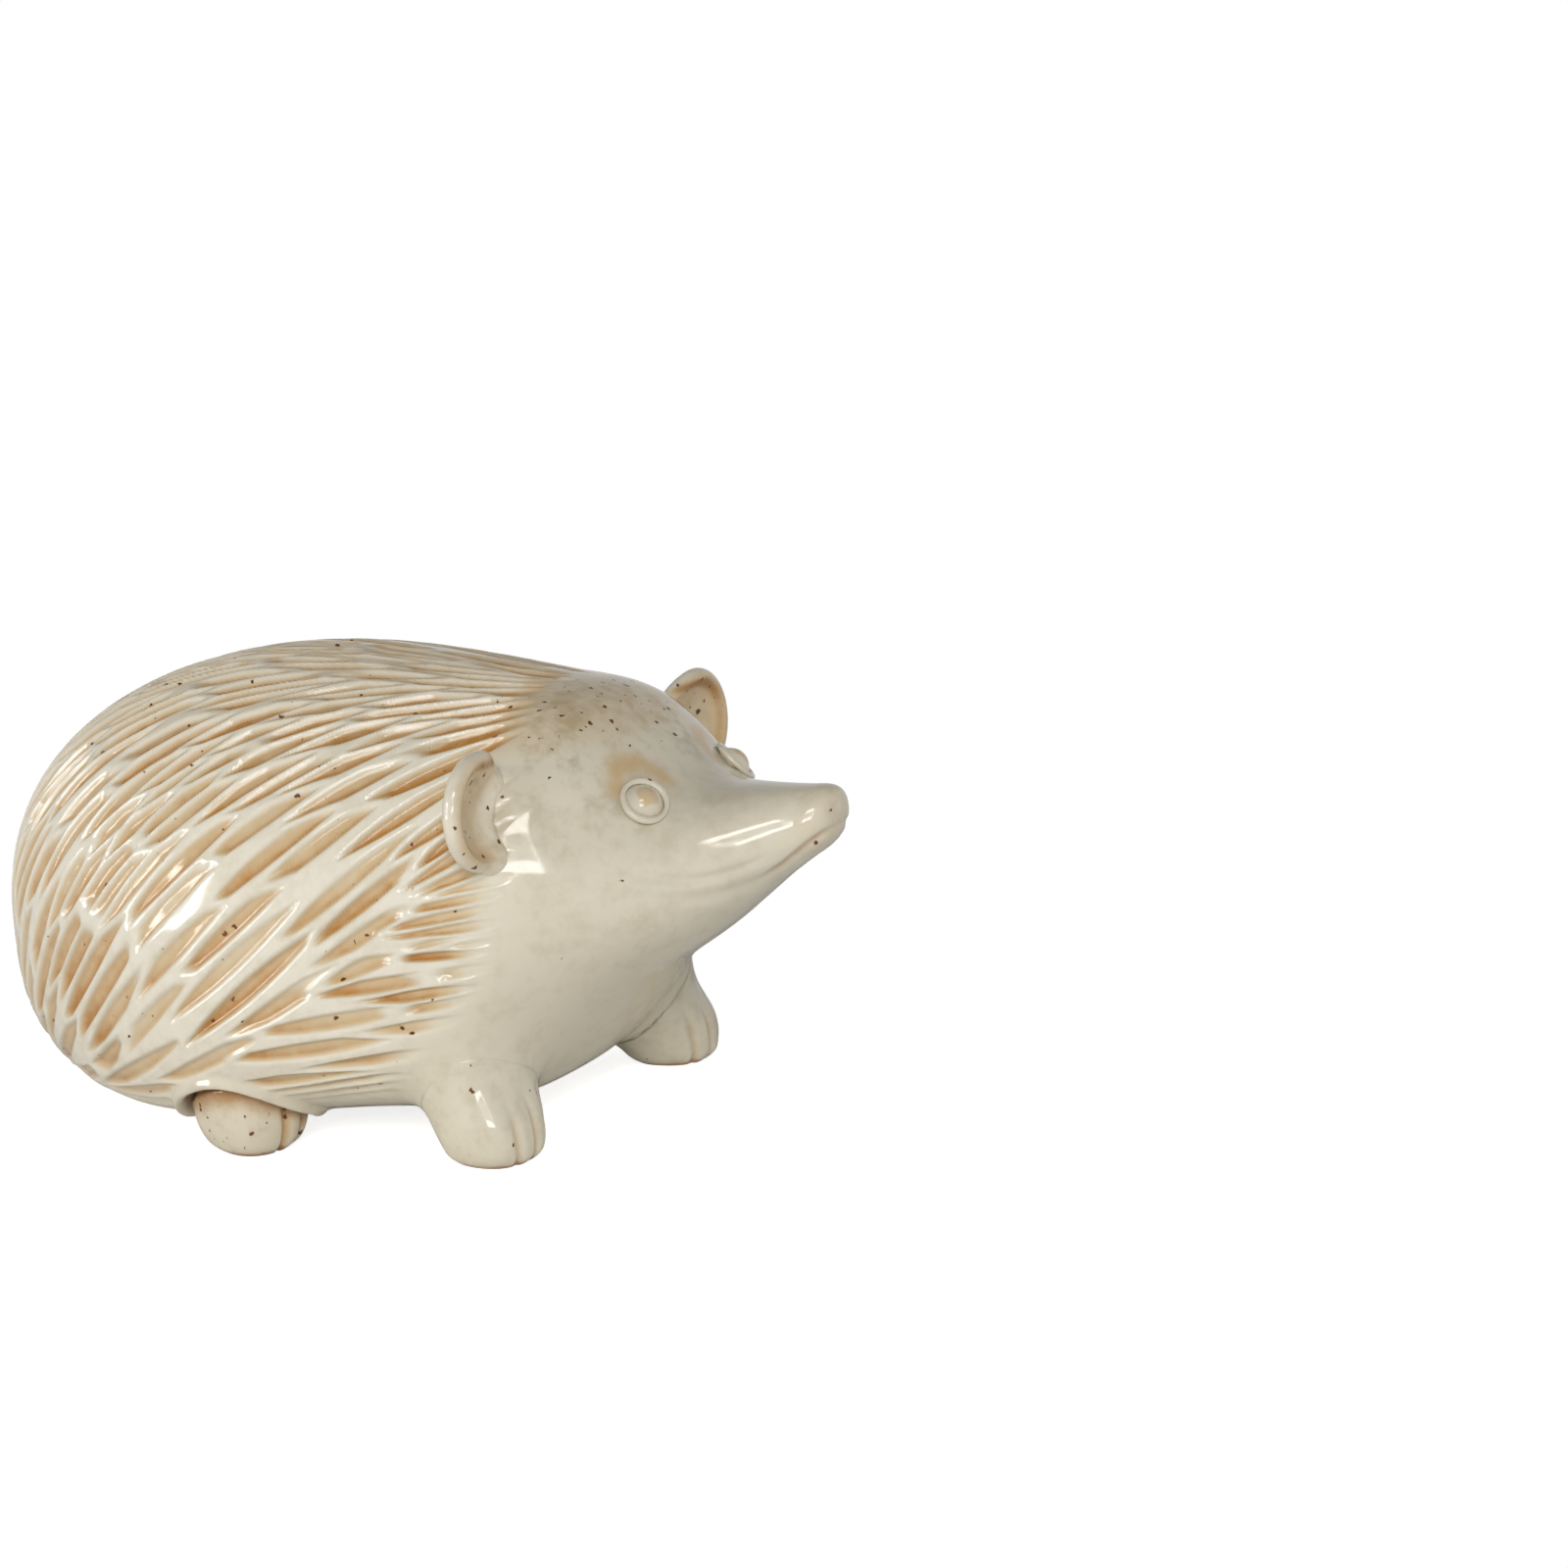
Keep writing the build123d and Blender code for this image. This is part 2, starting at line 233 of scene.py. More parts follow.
def settle(points, normals, other_gap, softness, under=0.06):
    """Slides points along their normals onto the soft union with another surface; past the seam, under it.

    The union is min(own, other) - softness / 4 (1 - |own - other| / softness)^2 = 0."""
    own = np.zeros(points.shape[:-1])
    for _ in range(SETTLE_ROUNDS):
        other = other_gap(points + own[..., None] * normals)
        blend = np.clip(1.0 - np.abs(own - other) / softness, 0.0, 1.0)
        union = np.minimum(own, other) - softness / 4.0 * blend**2
        own = np.clip(own - SETTLE_PACE * union, 0.0, 0.5 * softness)
    past = own - other_gap(points + own[..., None] * normals)
    own = own - np.clip(past - DIVE_START * softness, 0.0, None)
    own = own - under * smooth_step(THIN_START * softness, 0.0, past)
    return points + np.maximum(own, -DIVE_DEPTH)[..., None] * normals


MILLIMETRE = 0.001


def grid_mesh(name, points, values=None, normals=None):
    """Mesh of a grid closed round its columns: quads, with a fan where an end row is a single point."""
    rows, columns = points.shape[:2]
    index = np.arange(rows * columns).reshape(rows, columns)
    beside = np.roll(index, -1, 1)
    quads = np.stack([index[:-1], beside[:-1], beside[1:], index[1:]], -1)
    first, last = 0, rows - 1
    fans = []
    if single_point(points[0]):
        first = 1
        fans.append(quads[0][:, [0, 2, 3]] * [0, 1, 1])
    if single_point(points[-1]):
        last = rows - 2
        tip = np.full(columns, (rows - 1) * columns)
        fans.append(np.stack([quads[-1][:, 0], quads[-1][:, 1], tip], -1))
    quads = quads[first:last].reshape(-1, 4)
    fans = np.concatenate(fans) if fans else np.zeros((0, 3), int)
    used = np.unique(np.r_[quads.ravel(), fans.ravel()])
    renumber = np.zeros(rows * columns, int)
    renumber[used] = np.arange(len(used))
    loops = renumber[np.r_[quads.ravel(), fans.ravel()]]
    starts = np.r_[4 * np.arange(len(quads)), 4 * len(quads) + 3 * np.arange(len(fans))]
    mesh = bpy.data.meshes.new(name)
    mesh.vertices.add(len(used))
    mesh.vertices.foreach_set("co", (MILLIMETRE * points.reshape(-1, 3)[used]).ravel())
    mesh.loops.add(len(loops))
    mesh.loops.foreach_set("vertex_index", loops)
    mesh.polygons.add(len(starts))
    mesh.polygons.foreach_set("loop_start", starts)
    mesh.update(calc_edges=True)
    mesh.shade_smooth()
    for key, value in (values or {}).items():
        layer = mesh.attributes.new(key, "FLOAT", "POINT")
        layer.data.foreach_set("value", value.ravel()[used].astype(np.float32))
    if normals is not None:
        mesh.normals_split_custom_set_from_vertices(normals.reshape(-1, 3)[used])
    return mesh


def add_piece(name, mesh, material, slot, *nodes):
    """Puts a mesh in the scene as a piece that stands for its nodes."""
    mesh.materials.append(material)
    piece = bpy.data.objects.new(name, mesh)
    bpy.context.scene.collection.objects.link(piece)
    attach(piece, "root")
    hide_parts(*nodes)


def mirrored(points):
    """The same grid on the right side, with its columns turned round so that faces stay outward."""
    return points[:, ::-1] * [1.0, -1.0, 1.0]


def add_pair(name, points, values, material, slot):
    """Adds a piece on the left side of the body, and its mirror image on the right."""
    turned = {key: value[:, ::-1] for key, value in values.items()}
    for side, grid, carried in (("left", points, values), ("right", mirrored(points), turned)):
        mesh = grid_mesh(f"{side}_{name}", grid, carried)
        add_piece(f"{side}_{name}_glazed", mesh, material, slot, f"{side}_{name}")


def srgb(red, green, blue):
    """Linear colour of three 0 to 255 screen values."""
    screen = np.array([red, green, blue]) / 255.0
    linear = np.where(screen <= 0.04045, screen / 12.92, ((screen + 0.055) / 1.055) ** 2.4)
    return (*linear.tolist(), 1.0)


def new_group(name, inputs, outputs):
    """Empty shader node group with its named sockets."""
    group = bpy.data.node_groups.new(name, "ShaderNodeTree")
    for direction, sockets in (("INPUT", inputs), ("OUTPUT", outputs)):
        for key, kind, default in sockets:
            socket = group.interface.new_socket(key, in_out=direction, socket_type=f"NodeSocket{kind}")
            if default is not None:
                socket.default_value = default
    return group, group.nodes.new("NodeGroupInput"), group.nodes.new("NodeGroupOutput")


def put(tree, kind, settings=None, **inputs):
    """Adds a shader node: settings are its properties, inputs are values or sockets to link."""
    node = tree.nodes.new(f"ShaderNode{kind}")
    for key, value in (settings or {}).items():
        setattr(node, key, value)
    for key, value in inputs.items():
        socket = node.inputs[int(key[1:])] if key[0] == "_" else node.inputs[key.replace("_", " ")]
        if isinstance(value, bpy.types.NodeSocket):
            tree.links.new(value, socket)
        else:
            socket.default_value = value
    return node


def math_of(tree, operation, first, second):
    """Result of one math node."""
    return put(tree, "Math", {"operation": operation}, _0=first, _1=second).outputs[0]


def remap(tree, value, low, high):
    """Smooth rise from 0 at low to 1 at high; high may be the smaller."""
    smooth = {"interpolation_type": "SMOOTHSTEP"}
    return put(tree, "MapRange", smooth, Value=value, From_Min=low, From_Max=high).outputs[0]


def blend_colour(tree, factor, first, second):
    """Mix of two colours."""
    node = put(tree, "Mix", {"data_type": "RGBA"}, Factor=factor, _6=first, _7=second)
    return node.outputs[2]


def weighted(tree, first, first_share, second, second_share):
    """Sum of two values by their shares."""
    first = math_of(tree, "MULTIPLY", first, first_share)
    return math_of(tree, "ADD", first, math_of(tree, "MULTIPLY", second, second_share))


def grained(tree, amount, grain):
    """An amount made uneven: amount + amount times grain."""
    return math_of(tree, "ADD", amount, math_of(tree, "MULTIPLY", grain, amount))


RAGGED_SCALE = 700.0
RAGGED_REACH = 0.0020
LEAST_SPECK = 0.3
SPECK_EDGE = (-0.03, 0.05)


def speck_group():
    """Iron specks: spots of differing size at the points of a cell pattern, only in some of its cells."""
    sockets = [("Scale", "Float", 200.0), ("Share", "Float", 0.1), ("Size", "Float", 0.25)]
    group, given, result = new_group("iron_specks", sockets, [("Mask", "Float", None)])
    place = put(group, "TexCoord").outputs["Object"]
    ragged = put(group, "TexNoise", Vector=place, Scale=RAGGED_SCALE, Detail=3.0)
    ragged = ragged.outputs["Color"]
    wobble = put(group, "VectorMath", {"operation": "SCALE"}, _0=ragged, Scale=RAGGED_REACH).outputs[0]
    place = put(group, "VectorMath", {"operation": "ADD"}, _0=place, _1=wobble).outputs[0]
    cells = put(group, "TexVoronoi", {"feature": "F1"}, Vector=place, Scale=given.outputs["Scale"])
    chance = put(group, "SeparateColor", Color=cells.outputs["Color"])
    chosen = math_of(group, "LESS_THAN", chance.outputs[0], given.outputs["Share"])
    spread = math_of(group, "ADD", chance.outputs[1], LEAST_SPECK)
    size = math_of(group, "MULTIPLY", given.outputs["Size"], spread)
    inside = math_of(group, "SUBTRACT", size, cells.outputs["Distance"])
    spot = remap(group, inside, *SPECK_EDGE)
    group.links.new(math_of(group, "MULTIPLY", chosen, spot), result.inputs["Mask"])
    return group


GLAZE_CREAM = srgb(216, 208, 187)
GLAZE_CLOUD = srgb(172, 158, 130)
GLAZE_WHITE = srgb(226, 219, 202)
GLAZE_TAN = srgb(203, 178, 139)
GLAZE_OCHRE = srgb(178, 124, 58)
STAIN_BROWN = srgb(160, 112, 58)
STAIN_DARK = srgb(66, 34, 18)
SMALL_SPECK = srgb(104, 58, 24)
LARGE_SPECK = srgb(62, 30, 14)
SMALL_SPECKS = {"Scale": 330.0, "Size": 0.20}
LARGE_SPECKS = {"Scale": 105.0, "Size": 0.10}
# Amounts at which each colour begins to show and covers
CLOUD_RANGE = (0.44, 0.72)
WHITE_RANGE = (0.25, 0.6)
TAN_RANGE = (0.12, 0.6)
OCHRE_RANGE = (0.5, 1.05)
BROWN_RANGE = (0.05, 0.75)
DARK_RANGE = (0.7, 1.1)
GRAIN = 0.7


def glaze_group(specks):
    """Cream glaze: cloudy, tan to ochre where it pools, white where it breaks, with iron stains, specks."""
    sockets = [
        ("Body", "Color", GLAZE_CREAM),
        ("Cloud", "Float", 0.5),
        ("Pool", "Float", 0.0),
        ("Break", "Float", 0.0),
        ("Stain", "Float", 0.0),
        ("Speckle", "Float", 0.06),
    ]
    results = [("Color", "Color", None), ("Height", "Float", None)]
    group, given, result = new_group("stoneware_glaze", sockets, results)
    place = put(group, "TexCoord").outputs["Object"]
    broad = put(group, "TexNoise", Vector=place, Scale=38.0, Detail=3.0, Roughness=0.55).outputs[0]
    fine = put(group, "TexNoise", Vector=place, Scale=190.0, Detail=4.0, Roughness=0.6).outputs[0]
    cloud = weighted(group, broad, 0.45, fine, 0.55)
    cloudy = math_of(group, "MULTIPLY", remap(group, cloud, *CLOUD_RANGE), given.outputs["Cloud"])
    colour = blend_colour(group, cloudy, given.outputs["Body"], GLAZE_CLOUD)
    broken = math_of(group, "MULTIPLY", given.outputs["Break"], remap(group, fine, *WHITE_RANGE))
    colour = blend_colour(group, broken, colour, GLAZE_WHITE)
    grain = math_of(group, "SUBTRACT", math_of(group, "MULTIPLY", fine, GRAIN), 0.5 * GRAIN)
    pooled = grained(group, given.outputs["Pool"], grain)
    colour = blend_colour(group, remap(group, pooled, *TAN_RANGE), colour, GLAZE_TAN)
    colour = blend_colour(group, remap(group, pooled, *OCHRE_RANGE), colour, GLAZE_OCHRE)
    stained = grained(group, given.outputs["Stain"], grain)
    colour = blend_colour(group, remap(group, stained, *BROWN_RANGE), colour, STAIN_BROWN)
    colour = blend_colour(group, remap(group, stained, *DARK_RANGE), colour, STAIN_DARK)
    share = given.outputs["Speckle"]
    small = put(group, "Group", {"node_tree": specks}, Share=share, **SMALL_SPECKS).outputs[0]
    large = put(group, "Group", {"node_tree": specks}, Share=share, **LARGE_SPECKS).outputs[0]
    colour = blend_colour(group, small, colour, SMALL_SPECK)
    colour = blend_colour(group, large, colour, LARGE_SPECK)
    group.links.new(colour, result.inputs["Color"])
    group.links.new(fine, result.inputs["Height"])
    return group


GLAZE_ROUGHNESS = 0.09
GLAZE_IOR = 1.5
RIPPLE_STRENGTH = 0.06
RIPPLE_HEIGHT = 0.0004
stoneware_glaze = glaze_group(speck_group())


def attribute_of(tree, name):
    """Value carried by the piece's own points."""
    return put(tree, "Attribute", {"attribute_name": name}).outputs["Fac"]


def glazed(name, **inputs):
    """Glossy glaze over stoneware. A text input is the name of a point attribute."""
    material = bpy.data.materials.new(name)
    material.use_nodes = True
    tree = material.node_tree
    shader = tree.nodes["Principled BSDF"]
    shader.inputs["Roughness"].default_value = GLAZE_ROUGHNESS
    shader.inputs["IOR"].default_value = GLAZE_IOR
    for key, value in inputs.items():
        inputs[key] = attribute_of(tree, value) if isinstance(value, str) else value
    glaze = put(tree, "Group", {"node_tree": stoneware_glaze}, **inputs)
    tree.links.new(glaze.outputs["Color"], shader.inputs["Base Color"])
    ripple = {"Strength": RIPPLE_STRENGTH, "Distance": RIPPLE_HEIGHT, "Height": glaze.outputs["Height"]}
    tree.links.new(put(tree, "Bump", **ripple).outputs[0], shader.inputs["Normal"])
    return material


SOLE_ROWS = 7
FOREFOOT_LEVELS = 120
PAW_COLUMNS = 180
LEVEL_CROWDING = 1.6
KNUCKLE_START = 0.45


def paw_grid(surface, rings, levels):
    """Paw grid from the centre of the sole, out along the flat, then up the rings, closer low down."""
    flat = np.linspace(0.0, 1.0, SOLE_ROWS)[:-1]
    up = rings[-1, 0] * np.linspace(0.0, 1.0, levels) ** LEVEL_CROWDING
    height = np.r_[np.zeros(len(flat)), up][:, None]
    share = np.r_[flat, np.ones(levels)][:, None]
    angle = np.linspace(-np.pi, np.pi, PAW_COLUMNS, endpoint=False)[None, :]
    return surface(height, angle, share), height, angle


def toe_grooves(angle, height, toes, top):
    """Depth share of the grooves between toes: narrow bells of angle that fade out above the knuckles."""
    bells = sum(np.exp(-(((angle - toe) / TOE_WIDTH) ** 2)) for toe in toes)
    return bells * (1.0 - smooth_step(KNUCKLE_START * top, top, height)) * smooth_step(-1.0, 2.0, height)


forefoot_surface, forefoot_gap = paw_shape(FOREFOOT_RINGS, FOREFOOT_PLACE, FOREFOOT_TURN)
forefoot_points, paw_height, paw_angle = paw_grid(forefoot_surface, FOREFOOT_RINGS, FOREFOOT_LEVELS)
paw_groove = toe_grooves(paw_angle, paw_height, FOREFOOT_TOES, FOREFOOT_KNUCKLE)
paw_normals = grid_normals(forefoot_points)
forefoot_points = settle(forefoot_points, paw_normals, skin_gap, FOREFOOT_SOFTNESS)
forefoot_points = forefoot_points - TOE_DEPTH * paw_groove[..., None] * paw_normals
forefoot_points[..., 2] = np.maximum(forefoot_points[..., 2], 0.0)
sole_edge = (1.0 - smooth_step(0.2, 2.2, paw_height)) * np.ones_like(paw_angle)
forefoot_values = {"pool": 0.42 * paw_groove, "stain": 0.55 * sole_edge}
forefoot_glaze = glazed("forefoot_glaze", Pool="pool", Stain="stain", Cloud=0.45, Speckle=0.05)
add_pair("forefoot", forefoot_points, forefoot_values, forefoot_glaze, "paw_glaze")


# Hind feet: low oval stoneware paws, pressed up under the hem of the spine coat, which rolls over them
# as an arched rim. Brown in the recess round each paw is glaze gathered there and painted shade under the
# hem.
HIND_FOOT_PLACE = (-25.0, 56.0)
HIND_FOOT_TURN = np.radians(14.0)
HIND_FOOT_RINGS = np.array(
    [
        (0.0, 0.0, 8.0, 7.6),
        (1.5, -0.1, 10.4, 9.8),
        (4.5, -0.3, 12.8, 12.2),
        (9.0, -0.6, 14.2, 13.6),
        (14.0, -0.9, 14.4, 14.2),
        (19.0, -1.2, 14.0, 14.4),
        (24.0, -1.4, 12.6, 13.6),
        (29.0, -1.4, 9.0, 10.4),
        (33.0, -1.4, 4.0, 4.6),
        (36.0, -1.4, 1.5, 1.5),
    ]
)
HIND_FOOT_LEVELS = 90
HIND_FOOT_TOES = np.radians([-58.0, -28.0, 2.0])
HIND_FOOT_KNUCKLE = 22.0
HIND_TOE_DEPTH = 1.2 * TOE_DEPTH
HIND_FOOT_SOFTNESS = 1.0

hind_surface, hind_foot_gap = paw_shape(HIND_FOOT_RINGS, HIND_FOOT_PLACE, HIND_FOOT_TURN)
hind_points, paw_height, paw_angle = paw_grid(hind_surface, HIND_FOOT_RINGS, HIND_FOOT_LEVELS)
paw_groove = toe_grooves(paw_angle, paw_height, HIND_FOOT_TOES, HIND_FOOT_KNUCKLE)
paw_normals = grid_normals(hind_points)
hind_points = settle(hind_points, paw_normals, skin_gap, HIND_FOOT_SOFTNESS)
hind_points = hind_points - HIND_TOE_DEPTH * paw_groove[..., None] * paw_normals
hind_points[..., 2] = np.maximum(hind_points[..., 2], 0.0)
# Painted shade under the hem: it darkens the paw's glaze to tan and brown below the rim.
hem_shadow = 1.0 - smooth_step(-1.0, 6.0, skin_gap(hind_points))
sole_edge = 1.0 - smooth_step(0.2, 2.4, paw_height)
hind_values = {
    "pool": 0.2 + 0.5 * paw_groove + 0.25 * hem_shadow,
    "stain": np.maximum(0.6 * hem_shadow, 0.75 * sole_edge * np.ones_like(paw_angle)),
}
hind_glaze = glazed("hind_foot_glaze", Pool="pool", Stain="stain", Cloud=1.0, Speckle=0.8)
add_pair("hind_foot", hind_points, hind_values, hind_glaze, "paw_glaze")


# Ears: clay discs pressed into dishes, luted upright to the sides of the head, facing forward.
# The side towards the head is open and smoothed into the cheek; iron gathers brown along the rim.
EAR_STATION = 0.655
EAR_ANGLE = np.radians(34.0)
EAR_STAND_OFF = 9.5
EAR_RADIUS = 12.7
EAR_RIM = 2.5
EAR_DISH = 5.4
EAR_THINNING = 0.4
EAR_FILLET = 4.6
EAR_FOLD = 0.88
EAR_FOLD_WIDTH = 0.12


def skin_frame(station, angle):
    """Point and outward normal of the plain skin where its section is at (|cos|^(2/n), |sin|^(2/n))."""
    reach = 0.002
    angle_now = np.arctan2(np.sin(angle) ** (2.0 / UPPER_POWER), np.cos(angle) ** (2.0 / UPPER_POWER))
    point = plain_skin(np.array(station), np.array(angle_now))
    along = plain_skin(np.array(station + reach), np.array(angle_now)) - point
    around = plain_skin(np.array(station), np.array(angle_now + reach)) - point
    normal = np.cross(around, along)
    return point, normal / np.linalg.norm(normal)


EAR_CENTRE = skin_frame(EAR_STATION, EAR_ANGLE)[0] + [0.0, EAR_STAND_OFF, 0.0]


def ear_reach(across, up):
    """Distance from the ear's middle by its radius; on the open side, by the head, only the height by it."""
    return np.hypot(np.maximum(across, 0.0), up) / EAR_RADIUS


def ear_grid(rows, columns):
    """Ear grid: out over the dished front, round the rim as a half circle, and in over the back."""
    spread = np.linspace(0.0, 1.0, rows)
    turn = np.linspace(0.5 * np.pi, -0.5 * np.pi, rows // 2)
    radius = EAR_RADIUS * np.r_[spread, np.ones(rows // 2), spread[::-1]][:, None]
    lift = np.r_[np.ones(rows), np.sin(turn), -np.ones(rows)][:, None]
    outward = np.r_[np.zeros(rows), np.cos(turn), np.zeros(rows)][:, None]
    angle = np.linspace(2.0 * np.pi, 0.0, columns, endpoint=False)[None, :]
    hollow = 1.0 - np.clip(ear_reach(radius * np.cos(angle), radius * np.sin(angle)), 0.0, 1.0) ** 2
    ahead = (EAR_RIM - EAR_THINNING * hollow) * lift - EAR_DISH * hollow
    across = (radius + EAR_RIM * outward) * np.cos(angle)
    up = (radius + EAR_RIM * outward) * np.sin(angle)
    points = EAR_CENTRE + np.stack([ahead, across, up], -1)
    return points, ear_reach(across, up), lift * np.ones_like(angle)


def flare(gap, radius):
    """Fillet against the skin, as an offset along a piece's normal: radius / 2 (1 - gap / radius)^2."""
    return 0.5 * radius * np.clip(1.0 - gap / radius, 0.0, 1.0) ** 2


ear_points, ear_share, ear_lift = ear_grid(40, 140)
ear_points = ear_points + flare(skin_gap(ear_points), EAR_FILLET)[..., None] * grid_normals(ear_points)
ear_front = np.clip(ear_lift, 0.0, 1.0)
ear_root = 1.0 - smooth_step(0.5, 5.0, skin_gap(ear_points))
ear_top = smooth_step(2.0, 13.0, ear_points[..., 2] - EAR_CENTRE[2])
ear_fold = np.exp(-(((ear_share - EAR_FOLD) / EAR_FOLD_WIDTH) ** 2))
ear_values = {
    "pool": ear_front * (0.42 + 0.25 * ear_fold) * (1.0 - 0.7 * ear_root),
    "stain": ear_front * ear_fold * (0.2 + 0.5 * ear_top) * (1.0 - ear_root),
    "break": 0.6 * smooth_step(1.02, 1.1, ear_share),
}
ear_glaze = glazed("ear_glaze", Pool="pool", Stain="stain", Break="break", Cloud=1.0, Speckle=0.7)
add_pair("ear", ear_points, ear_values, ear_glaze, "ear_glaze")


# Eyes: a rolled ring of clay with a flattened pellet pressed into it on each side of the snout.
# The glaze lies thick round the ring and shows tan in the middle of the pellet.
EYE_STATION = 0.749
EYE_ANGLE = np.radians(51.0)
EYE_RING = 5.9
EYE_ROLL = 1.7
EYE_LIFT = 0.3
EYEBALL_RADIUS = 5.3
EYEBALL_BULGE = 3.6
EYEBALL_SEAT = 1.0
EYEBALL_POWER = 2.2
EYE_FILLET = 3.2

EYE_CENTRE, EYE_FACING = skin_frame(EYE_STATION, EYE_ANGLE)
EYE_CENTRE = EYE_CENTRE + EYE_LIFT * EYE_FACING
EYE_ACROSS = np.cross([0.0, 0.0, 1.0], EYE_FACING)
EYE_ACROSS = EYE_ACROSS / np.linalg.norm(EYE_ACROSS)
EYE_UP = np.cross(EYE_FACING, EYE_ACROSS)


def eye_point(radius, angle, rise):
    """Point round the eye's centre at a radius, an angle and a height above the skin."""
    flat = (radius * np.cos(angle))[..., None] * EYE_ACROSS + (radius * np.sin(angle))[..., None] * EYE_UP
    return EYE_CENTRE + flat + (rise * np.ones_like(angle))[..., None] * EYE_FACING


round_eye = np.linspace(0.0, 2.0 * np.pi, 120, endpoint=False)[None, :]
round_roll = np.linspace(0.0, 2.0 * np.pi, 49)[:, None]
rim_radius = EYE_RING + EYE_ROLL * np.cos(round_roll)
rim_points = eye_point(rim_radius, round_eye, EYE_ROLL * np.sin(round_roll))[:, ::-1]
rim_points = rim_points + flare(skin_gap(rim_points), EYE_FILLET)[..., None] * grid_normals(rim_points)
rim_points[-1] = rim_points[0]
inner_foot = np.exp(-(((round_roll - np.pi) / 0.7) ** 2))
outer_foot = np.exp(-(((np.abs(round_roll - np.pi) - np.pi) / 0.5) ** 2))
rim_values = {
    "pool": 0.3 * (inner_foot + outer_foot) * np.ones_like(round_eye),
    "break": 0.35 * np.ones(rim_points.shape[:2]),
}
rim_glaze = glazed("eye_rim_glaze", Pool="pool", Break="break", Cloud=0.4, Speckle=0.03)

ball_radius = np.linspace(0.0, 1.0, 40)[:, None]
ball_rise = EYEBALL_BULGE * (1.0 - ball_radius**EYEBALL_POWER)
ball_points = eye_point(EYEBALL_RADIUS * ball_radius, round_eye, ball_rise)
ball_back = eye_point(EYEBALL_RADIUS * ball_radius[::-1], round_eye, -EYEBALL_SEAT)
ball_points = np.concatenate([ball_points, ball_back])[:, ::-1]
ball_share = np.r_[ball_radius, np.ones_like(ball_radius)] * np.ones_like(round_eye)
ball_square = ball_share * (np.cos(round_eye) ** 4 + np.sin(round_eye) ** 4) ** 0.25
ball_values = {
    "pool": 0.5 * (1.0 - smooth_step(0.42, 0.62, ball_square)) + 0.3 * smooth_step(0.82, 0.98, ball_share),
    "break": 0.35 * np.ones_like(ball_share),
}
ball_glaze = glazed("eyeball_glaze", Pool="pool", Break="break", Cloud=0.4, Speckle=0.03)
for side, shape in (("left", np.asarray), ("right", mirrored)):
    rim_mesh = grid_mesh(f"{side}_eye_rim", shape(rim_points), rim_values)
    add_piece(f"{side}_eye_rim_glazed", rim_mesh, rim_glaze, "eye_glaze", f"{side}_eye_rim")
    ball_mesh = grid_mesh(f"{side}_eyeball", shape(ball_points), ball_values)
    add_piece(f"{side}_eyeball_glazed", ball_mesh, ball_glaze, "eye_glaze", f"{side}_eyeball")


# Nose: a small ball of clay pressed on the end of the snout and smoothed in. The mouth is a crease scored
# from the tip back under the snout, where iron-brown glaze gathers.
NOSE_STATION = 0.885
NOSE_SEAT = 0.5
NOSE_PROUD = 0.35
# Place along the snout and height of the mouth crease
MOUTH_LINE = np.array([(105.5, 66.8), (112.5, 71.8), (118.5, 76.6), (126.0, 82.0)])
MOUTH_WIDTH = 0.9
MOUTH_DEPTH = 0.6
MOUTH_CORNER = (104.0, 111.0)
MOUTH_TIP = (122.0, 125.0)
MOUTH_STAIN = 0.4


def mouth_crease(points):
    """Depth share of the crease: a bell of height about the mouth line, fading at the corner and tip."""
    line = np.interp(points[..., 0], *MOUTH_LINE.T)
    fade = smooth_step(*MOUTH_CORNER, points[..., 0]) * (1.0 - smooth_step(*MOUTH_TIP, points[..., 0]))
    return np.exp(-(((points[..., 2] - line) / MOUTH_WIDTH) ** 2)) * fade


nose_station = np.linspace(NOSE_STATION, 1.0, 90)[:, None]
nose_turn = np.linspace(0.0, 2.0 * np.pi, 160, endpoint=False)[None, :]
nose_points = plain_skin(nose_station, nose_turn)
nose_points[-1] = nose_points[-1].mean(axis=0)
nose_normals = grid_normals(nose_points)
nose_share = smooth_step(NOSE_STATION, 1.0, nose_station)[..., None]
nose_points = nose_points + (NOSE_PROUD - NOSE_SEAT * (1.0 - nose_share) ** 4) * nose_normals
nose_crease = mouth_crease(nose_points)
nose_points = nose_points - MOUTH_DEPTH * nose_crease[..., None] * nose_normals
nose_front = smooth_step(112.0, 119.0, nose_points[..., 0])
nose_values = {"pool": 0.25 * nose_front, "stain": MOUTH_STAIN * nose_crease}
nose_glaze = glazed("nose_glaze", Pool="pool", Stain="stain", Cloud=0.5, Speckle=0.2)
nose_mesh = grid_mesh("nose_tip", nose_points, nose_values)
add_piece("nose_tip_glazed", nose_mesh, nose_glaze, "nose_glaze", "nose_tip")


# Body: the cast shell with everything luted on, smoothed at the joints, then carved. The spine coat is cut
# with a round gouge, one lens-shaped scoop for each spine, so that white ridges stand between tan hollows.
BODY_ROWS = 481
BODY_COLUMNS = 640
# The columns are fewer round the belly: their share there, and the turn from the back where they thin out
BELLY_COLUMNS = 0.3
BELLY_START = (2.15, 2.45)
SPINE_LENGTH = 40.0
SPINE_WIDTH = 4.7
SPINE_DEPTH = 1.5
# Front edge of the coat: height and place along the body
COAT_EDGE = np.array(
    [
        (14.0, 14.0),
        (30.0, 29.0),
        (40.0, 41.0),
        (50.0, 47.0),
        (62.0, 52.0),
        (80.0, 54.0),
        (100.0, 51.0),
        (110.0, 48.0),
        (124.0, 42.0),
    ]
)

